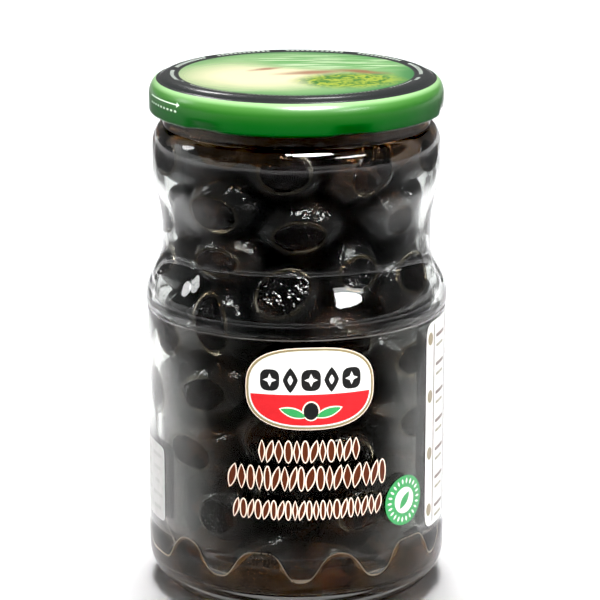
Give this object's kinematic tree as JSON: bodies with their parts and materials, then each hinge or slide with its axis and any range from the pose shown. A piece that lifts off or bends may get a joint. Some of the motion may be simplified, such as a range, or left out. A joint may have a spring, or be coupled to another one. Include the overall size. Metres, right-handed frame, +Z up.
{
  "type": "jar of olives",
  "caption": "Waisted clear glass jar with a twist-off metal lid, filled with dark whole olives, with a printed clear film round its lower half.",
  "frame": {"origin": "middle of the standing ring under the base, on the jar's axis", "axes": "+Z up along the jar's axis, -Y towards the front of the label, +X to the right of someone facing the label"},
  "size_m": [0.0878, 0.0878, 0.1521],
  "materials": {
    "clear_glass": "clear flint glass, glossy, with faint mould seams",
    "green_lid_paint": "glossy green lacquered tinplate with a black printed ring and a pale green and cream printed disc",
    "black_olive_skin": "wet wrinkled black olive skin, glossy",
    "clear_film": "thin clear glossy plastic film",
    "label_red_print": "semi-gloss ink: a badge in red and white with a gold rim",
    "label_green_print": "semi-gloss green ink",
    "label_brown_print": "semi-gloss brown ink edged with cream",
    "label_white_print": "semi-gloss white ink with grey and gold fields"
  },
  "bodies": {
    "root": {"jar_glass": "clear_glass", "lid": "green_lid_paint", "olives": "black_olive_skin", "label_film": "clear_film", "label_badge": "label_red_print", "label_seal": "label_green_print", "label_row_top": "label_brown_print", "label_row_middle": "label_brown_print", "label_row_foot": "label_brown_print", "label_right_panel": "label_white_print", "label_left_panel": "label_white_print"}
  },
  "joints": []
}
